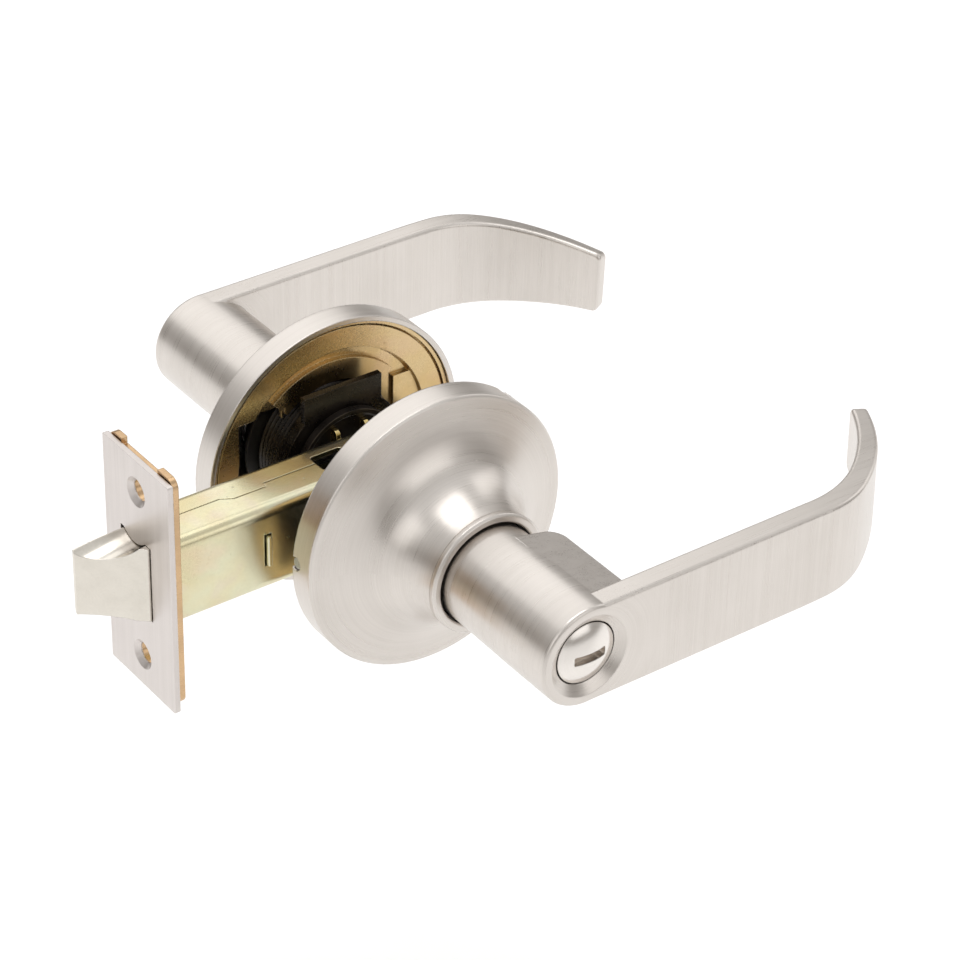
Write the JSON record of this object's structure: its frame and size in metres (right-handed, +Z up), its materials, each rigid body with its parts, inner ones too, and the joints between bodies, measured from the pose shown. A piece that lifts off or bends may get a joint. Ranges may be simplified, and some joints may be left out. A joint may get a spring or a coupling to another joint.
{
  "type": "door lever handle set",
  "caption": "Privacy door lever set with flared roses, bent flat levers, a coin-slot button, a thumb turn and a sprung bevelled latch on a square faceplate.",
  "frame": {"origin": "on the spindle axis at the middle of the door's thickness", "axes": "+X along the levers, away from the latch; the spindle is along Y with the coin button at -Y; +Z up"},
  "size_m": [0.1695, 0.1514, 0.065],
  "materials": {
    "lever_nickel": "satin nickel, brushed along the grip",
    "rose_nickel": "satin nickel, turned brushing round the rose",
    "faceplate_nickel": "satin nickel on flat steel",
    "bolt_nickel": "polished nickel on cast metal",
    "button_nickel": "bright satin nickel",
    "yellow_zinc": "yellow passivated zinc on stamped steel, faintly iridescent",
    "plated_brass": "stamped brass, satin",
    "black_steel": "black oxide, oily",
    "black_plastic": "black moulded plastic",
    "zinc_steel": "clear zinc on steel",
    "spring_steel": "drawn spring wire",
    "nylon": "dark nylon"
  },
  "bodies": {
    "lock_body": {"front_rose": "rose_nickel", "front_mounting_plate": "yellow_zinc", "front_rose_clips": "zinc_steel", "front_threaded_hub": "black_steel", "front_chassis_cap": "black_steel", "front_spring_cup": "black_plastic", "front_return_spring": "spring_steel", "front_neck_bush": "nylon", "back_rose": "rose_nickel", "back_mounting_plate": "yellow_zinc", "back_rose_clips": "zinc_steel", "back_threaded_hub": "black_steel", "back_chassis_cap": "black_steel", "back_spring_cup": "black_plastic", "back_return_spring": "spring_steel", "back_neck_bush": "nylon", "latch_case": "yellow_zinc", "latch_case_rivet": "zinc_steel", "latch_guide_plate": "plated_brass", "latch_faceplate": "faceplate_nickel", "latch_backplate": "plated_brass", "tie_posts": "zinc_steel", "tie_screws": "zinc_steel", "bolt_spring": "spring_steel"},
    "levers": {"front_lever": "lever_nickel", "front_lever_catch": "zinc_steel", "front_drive_sleeve": "zinc_steel", "front_drive_disc": "black_steel", "front_disc_tabs": "plated_brass", "front_circlip": "spring_steel", "back_lever": "lever_nickel", "back_lever_catch": "zinc_steel", "back_drive_sleeve": "zinc_steel", "back_drive_disc": "black_steel", "back_disc_tabs": "plated_brass", "back_circlip": "spring_steel", "spindle": "zinc_steel", "latch_hub": "zinc_steel"},
    "privacy": {"coin_button": "button_nickel", "turn_button": "button_nickel", "privacy_rod": "zinc_steel"},
    "bolt": {"latch_bolt": "bolt_nickel", "bolt_stem": "zinc_steel", "bolt_fork": "zinc_steel"}
  },
  "joints": [
    {"name": "lever_turn", "type": "hinge", "parent": "lock_body", "child": "levers", "pos_m": [0, 0, 0], "axis": [0, 1, 0], "range_deg": [0, 50], "stiffness_Nm_per_rad": 1.6, "springref_deg": -34.38},
    {"name": "privacy_turn", "type": "hinge", "parent": "levers", "child": "privacy", "pos_m": [0, 0, 0], "axis": [0, 1, 0], "range_deg": [0, 90]},
    {"name": "bolt_slide", "type": "slide", "parent": "lock_body", "child": "bolt", "axis": [1, 0, 0], "range_m": [0, 0.0115], "stiffness_N_per_m": 250, "springref_m": -0.012, "deforming": ["bolt_spring"]}
  ],
  "couplings": [
    {"joint": "bolt_slide", "follows": "lever_turn", "m_per_rad": 0.01317}
  ]
}
